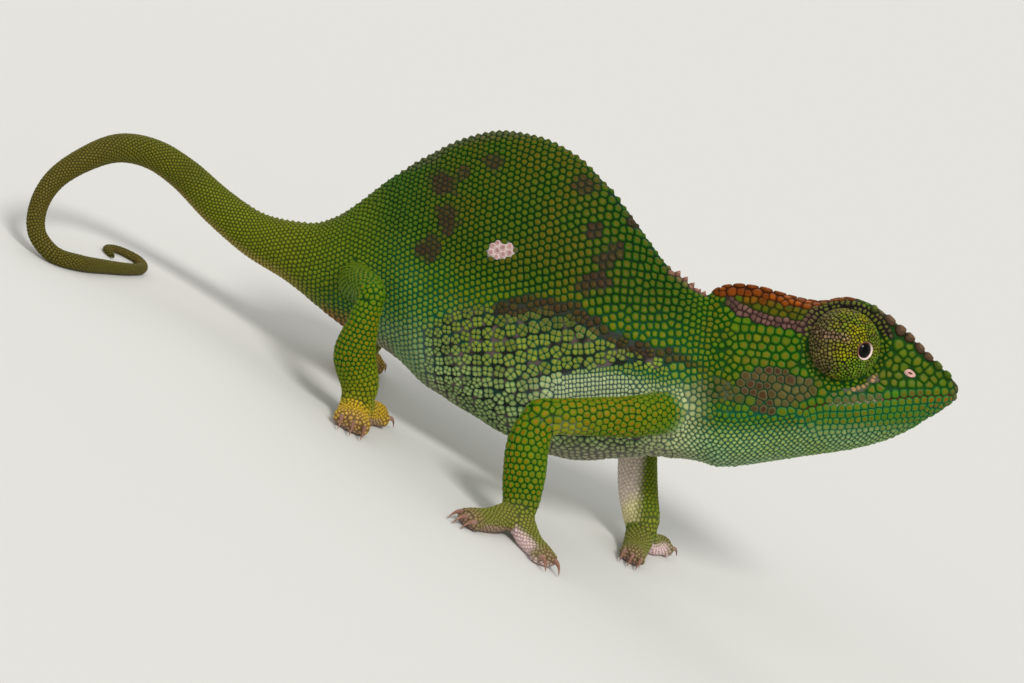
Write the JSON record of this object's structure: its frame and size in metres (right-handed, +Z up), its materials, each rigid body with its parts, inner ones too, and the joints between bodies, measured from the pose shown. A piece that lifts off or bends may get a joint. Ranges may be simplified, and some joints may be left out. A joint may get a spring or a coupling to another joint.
{
  "type": "chameleon",
  "caption": "Still life-size model of a hornless green chameleon standing on flat ground, back humped, head raised, tail curled to one side on the floor.",
  "frame": {"origin": "on the floor under the middle of the bounding box", "axes": "+X towards the head, along the animal's length; +Y to the animal's left; +Z up"},
  "size_m": [0.132, 0.0572, 0.0513],
  "materials": {
    "skin": "matt, finely scaled",
    "eye_turrets": "matt, finely granular",
    "pupil": "wet and glossy",
    "claws": "smooth horn"
  },
  "bodies": {
    "root": {"eye_left": "eye_turrets", "eye_right": "eye_turrets", "foot_left_claw_inner_1": "claws", "foot_left_claw_inner_2": "claws", "foot_left_claw_outer_1": "claws", "foot_left_claw_outer_2": "claws", "foot_left_claw_outer_3": "claws", "foot_left_inner": "skin", "foot_left_outer": "skin", "foot_right_claw_inner_1": "claws", "foot_right_claw_inner_2": "claws", "foot_right_claw_outer_1": "claws", "foot_right_claw_outer_2": "claws", "foot_right_claw_outer_3": "claws", "foot_right_inner": "skin", "foot_right_outer": "skin", "forearm_left": "skin", "forearm_right": "skin", "hand_left_claw_inner_1": "claws", "hand_left_claw_inner_2": "claws", "hand_left_claw_inner_3": "claws", "hand_left_claw_outer_1": "claws", "hand_left_claw_outer_2": "claws", "hand_left_inner": "skin", "hand_left_outer": "skin", "hand_right_claw_inner_1": "claws", "hand_right_claw_inner_2": "claws", "hand_right_claw_inner_3": "claws", "hand_right_claw_outer_1": "claws", "hand_right_claw_outer_2": "claws", "hand_right_inner": "skin", "hand_right_outer": "skin", "head": "skin", "neck": "skin", "pupil_left": "pupil", "pupil_right": "pupil", "shin_left": "skin", "shin_right": "skin", "tail_1": "skin", "tail_2": "skin", "tail_3": "skin", "tail_4": "skin", "tail_5": "skin", "tail_6": "skin", "tail_7": "skin", "tail_8": "skin", "thigh_left": "skin", "thigh_right": "skin", "trunk": "skin", "upper_arm_left": "skin", "upper_arm_right": "skin"}
  },
  "joints": []
}
